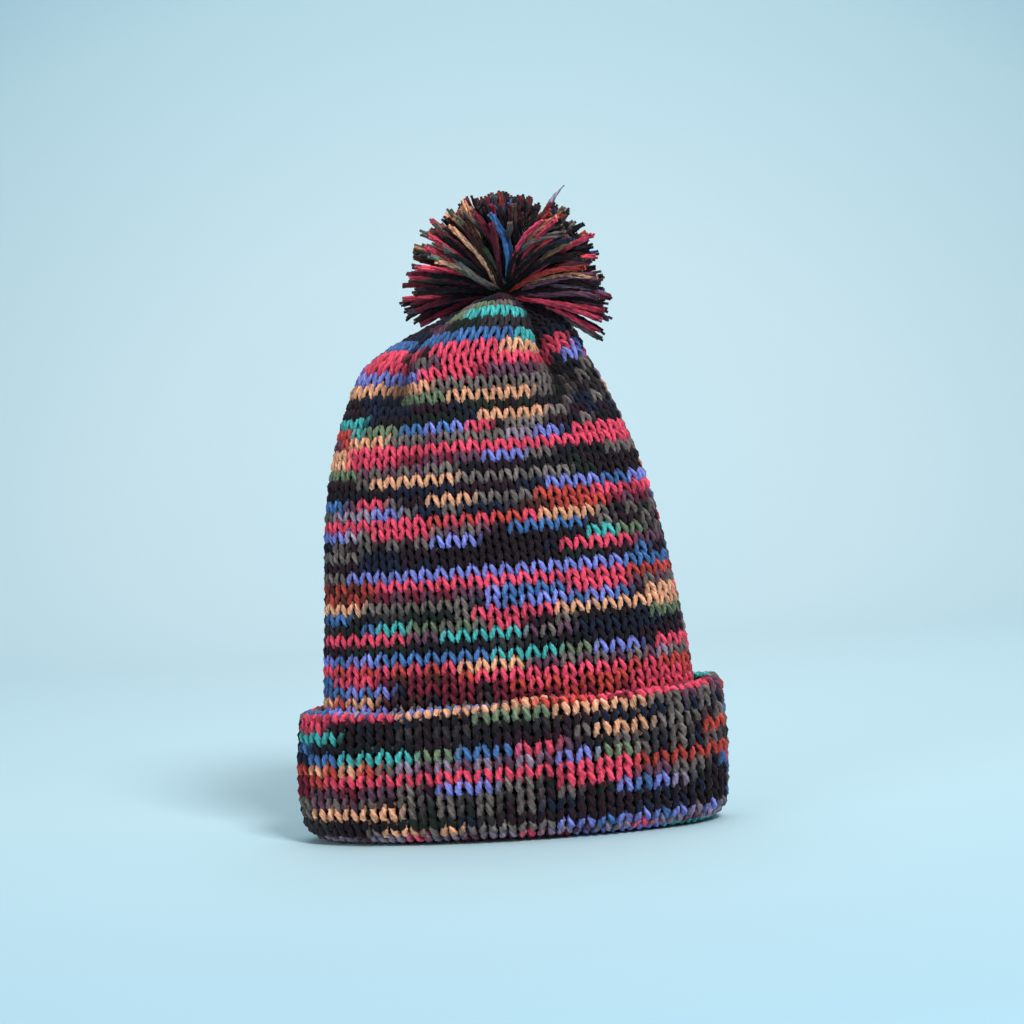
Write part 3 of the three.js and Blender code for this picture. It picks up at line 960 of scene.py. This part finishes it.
# One sheet of paper: the floor, a quarter turn up and the wall
def addBackdrop():
    curve, half = backdrop["curve"], backdrop["halfWidth"]
    profile = [(backdrop["front"], 0.0), (curve, 0.0)]
    for turn in np.linspace(0.05, math.pi / 2, 24):
        profile.append((curve + curve * math.sin(turn), curve - curve * math.cos(turn)))
    profile.append((2 * curve, backdrop["top"]))
    corners = [(x, y, z) for y, z in profile for x in (-half, half)]
    faces = [(2 * i, 2 * i + 1, 2 * i + 3, 2 * i + 2) for i in range(len(profile) - 1)]
    mesh = bpy.data.meshes.new("paper_sweep")
    mesh.from_pydata(corners, [], faces)
    mesh.shade_smooth()
    mesh.materials.append(makePaperMaterial())
    sweep = bpy.data.objects.new("paper_sweep", mesh)
    bpy.context.collection.objects.link(sweep)
    print("backdrop made")


def addLight(name, place, target, size, power, colour):
    data = bpy.data.lights.new(name, "AREA")
    data.size = size
    data.energy = power
    data.color = colour
    light = bpy.data.objects.new(name, data)
    light.location = place
    light.rotation_euler = (Vector(target) - Vector(place)).to_track_quat("-Z", "Y").to_euler()
    bpy.context.collection.objects.link(light)


# The eye is a little above the hat's middle, and the camera is rolled a few degrees
view = {
    "distance": 1.3,
    "elevation": 1.5,
    "lens": 86.2,
    "roll": 3.3,
    "target": (6.7 * mm, 0, 168.5 * mm),
}


def addCamera():
    data = bpy.data.cameras.new("studioCamera")
    data.lens = view["lens"]
    data.sensor_width = 36
    data.clip_end = 50
    camera = bpy.data.objects.new("studioCamera", data)
    tilt = math.radians(view["elevation"])
    target = Vector(view["target"])
    camera.location = target + view["distance"] * Vector((0, -math.cos(tilt), math.sin(tilt)))
    turn = (target - camera.location).to_track_quat("-Z", "Y").to_matrix().to_4x4()
    spin = Vector((0, 0, 1))
    camera.rotation_euler = (turn @ Matrix.Rotation(math.radians(-view["roll"]), 4, spin)).to_euler()
    bpy.context.collection.objects.link(camera)
    bpy.context.scene.camera = camera


addBackdrop()
hatMiddle = (0, 0, 0.15)
addLight("softKey", (0.8, -1.6, 1.8), hatMiddle, 0.6, 50, (1, 0.98, 0.96))
addLight("softFill", (-1.4, -1.5, 0.7), hatMiddle, 1.2, 11, (1, 0.99, 0.98))
addLight("sweepLight", (0, 0.6, 2.6), (0, 1.6, 0.4), 2.0, 36, (1, 1, 1))
world = bpy.data.worlds.new("studio")
world.use_nodes = True
world.node_tree.nodes["Background"].inputs["Color"].default_value = (*linearColour("#e6edf0"), 1)
world.node_tree.nodes["Background"].inputs["Strength"].default_value = 0.25
bpy.context.scene.world = world
bpy.context.scene.view_settings.view_transform = "Standard"
addCamera()
